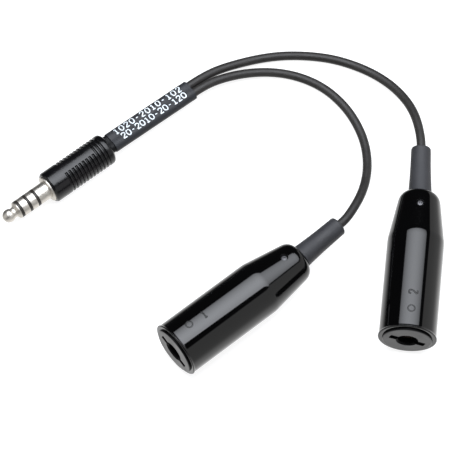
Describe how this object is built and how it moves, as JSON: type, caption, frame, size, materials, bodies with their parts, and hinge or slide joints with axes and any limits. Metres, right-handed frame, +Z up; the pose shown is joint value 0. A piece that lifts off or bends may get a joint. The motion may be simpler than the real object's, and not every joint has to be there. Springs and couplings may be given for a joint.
{
  "type": "headset adapter cord",
  "caption": "Y-shaped headset adapter cord: ribbed plug with a banded metal finger, label sleeve, thin cords and glossy tapered in-line jacks.",
  "frame": {"origin": "bottom centre of the box of the adapter without its two free cords, on the surface it lies on", "axes": "+X along the longest side, from the plug towards the jacks; +Y from the sockets towards the cord loop; +Z up"},
  "size_m": [0.1685, 0.142, 0.0222],
  "materials": {
    "nickel_plate": "bright nickel plate",
    "collar_black": "moulded nylon",
    "phenolic_brown": "moulded phenolic",
    "tinned_brass": "tinned brass",
    "wire_insulation": "thin extruded insulation",
    "handle_black": "satin moulded grip",
    "sleeve_grey": "heat-shrink sleeve",
    "cord_grey": "satin cord jacket",
    "shell_black": "high gloss moulding",
    "bushing_black": "satin moulding",
    "spring_metal": "plated spring strip",
    "screw_steel": "grub screw",
    "relief_grey": "matt moulded strain relief"
  },
  "bodies": {
    "adapter_cord": {"plug_tip": "nickel_plate", "plug_front_ring": "nickel_plate", "plug_rear_ring": "nickel_plate", "plug_sleeve_contact": "nickel_plate", "plug_front_collar": "collar_black", "plug_middle_collar": "collar_black", "plug_rear_collar": "collar_black", "plug_terminal_block": "phenolic_brown", "plug_solder_tags": "tinned_brass", "plug_wires": "wire_insulation", "plug_cord_clamp": "tinned_brass", "plug_handle": "handle_black", "neck_sleeve": "sleeve_grey", "label_sleeve": "sleeve_grey", "cord_a_root": "cord_grey", "cord_b_root": "cord_grey", "cord_a": "cord_grey", "cord_b": "cord_grey", "jack_a_shell": "shell_black", "jack_a_cord_end": "cord_grey", "jack_a_ferrule": "tinned_brass", "jack_a_clamp_screw": "screw_steel", "jack_a_strain_relief": "relief_grey", "jack_b_shell": "shell_black", "jack_b_cord_end": "cord_grey", "jack_b_ferrule": "tinned_brass", "jack_b_clamp_screw": "screw_steel", "jack_b_strain_relief": "relief_grey"},
    "insert_a": {"jack_a_block": "phenolic_brown", "jack_a_sleeve_contact": "nickel_plate", "jack_a_back_plate": "collar_black", "jack_a_solder_tags": "tinned_brass", "jack_a_wires": "wire_insulation"},
    "bushing_a": {"jack_a_bushing": "bushing_black"},
    "tip_spring_a": {"jack_a_tip_spring": "spring_metal"},
    "front_ring_spring_a": {"jack_a_front_ring_spring": "spring_metal"},
    "rear_ring_spring_a": {"jack_a_rear_ring_spring": "spring_metal"},
    "insert_b": {"jack_b_block": "phenolic_brown", "jack_b_sleeve_contact": "nickel_plate", "jack_b_back_plate": "collar_black", "jack_b_solder_tags": "tinned_brass", "jack_b_wires": "wire_insulation"},
    "bushing_b": {"jack_b_bushing": "bushing_black"},
    "tip_spring_b": {"jack_b_tip_spring": "spring_metal"},
    "front_ring_spring_b": {"jack_b_front_ring_spring": "spring_metal"},
    "rear_ring_spring_b": {"jack_b_rear_ring_spring": "spring_metal"}
  },
  "joints": [
    {"name": "insert_a_slide", "type": "slide", "parent": "adapter_cord", "child": "insert_a", "axis": [-0.7727, -0.6347, 0.0073], "range_m": [0, 0.005]},
    {"name": "bushing_a_turn", "type": "hinge", "parent": "insert_a", "child": "bushing_a", "pos_m": [-0.01441, -0.05226, 0.01107], "axis": [-0.7727, -0.6347, 0.0073], "range_deg": [0, 1441]},
    {"name": "tip_spring_a_flex", "type": "hinge", "parent": "insert_a", "child": "tip_spring_a", "pos_m": [0.00293, -0.03802, 0.01611], "axis": [-0.6347, 0.7727, 0], "range_deg": [0, 3.9], "stiffness_Nm_per_rad": 1},
    {"name": "front_ring_spring_a_flex", "type": "hinge", "parent": "insert_a", "child": "front_ring_spring_a", "pos_m": [0.0062, -0.04206, 0.01091], "axis": [0.0056, 0.0046, 1], "range_deg": [0, 2.8], "stiffness_Nm_per_rad": 1},
    {"name": "rear_ring_spring_a_flex", "type": "hinge", "parent": "insert_a", "child": "rear_ring_spring_a", "pos_m": [0.00287, -0.03807, 0.00571], "axis": [0.6347, -0.7727, 0], "range_deg": [0, 2.2], "stiffness_Nm_per_rad": 1},
    {"name": "insert_b_slide", "type": "slide", "parent": "adapter_cord", "child": "insert_b", "axis": [-0.1063, -0.9943, 0.0073], "range_m": [0, 0.005]},
    {"name": "bushing_b_turn", "type": "hinge", "parent": "insert_b", "child": "bushing_b", "pos_m": [0.07007, -0.04632, 0.01107], "axis": [-0.1063, -0.9943, 0.0073], "range_deg": [0, 1441]},
    {"name": "tip_spring_b_flex", "type": "hinge", "parent": "insert_b", "child": "tip_spring_b", "pos_m": [0.07246, -0.02401, 0.01611], "axis": [-0.9943, 0.1063, 0], "range_deg": [0, 3.9], "stiffness_Nm_per_rad": 1},
    {"name": "front_ring_spring_b_flex", "type": "hinge", "parent": "insert_b", "child": "front_ring_spring_b", "pos_m": [0.07763, -0.0246, 0.01091], "axis": [0.0008, 0.0072, 1], "range_deg": [0, 2.8], "stiffness_Nm_per_rad": 1},
    {"name": "rear_ring_spring_b_flex", "type": "hinge", "parent": "insert_b", "child": "rear_ring_spring_b", "pos_m": [0.07245, -0.02409, 0.00571], "axis": [0.9943, -0.1063, 0], "range_deg": [0, 2.2], "stiffness_Nm_per_rad": 1}
  ],
  "couplings": [
    {"joint": "bushing_a_turn", "follows": "insert_a_slide", "rad_per_m": 5026.5},
    {"joint": "bushing_b_turn", "follows": "insert_b_slide", "rad_per_m": 5026.5}
  ]
}
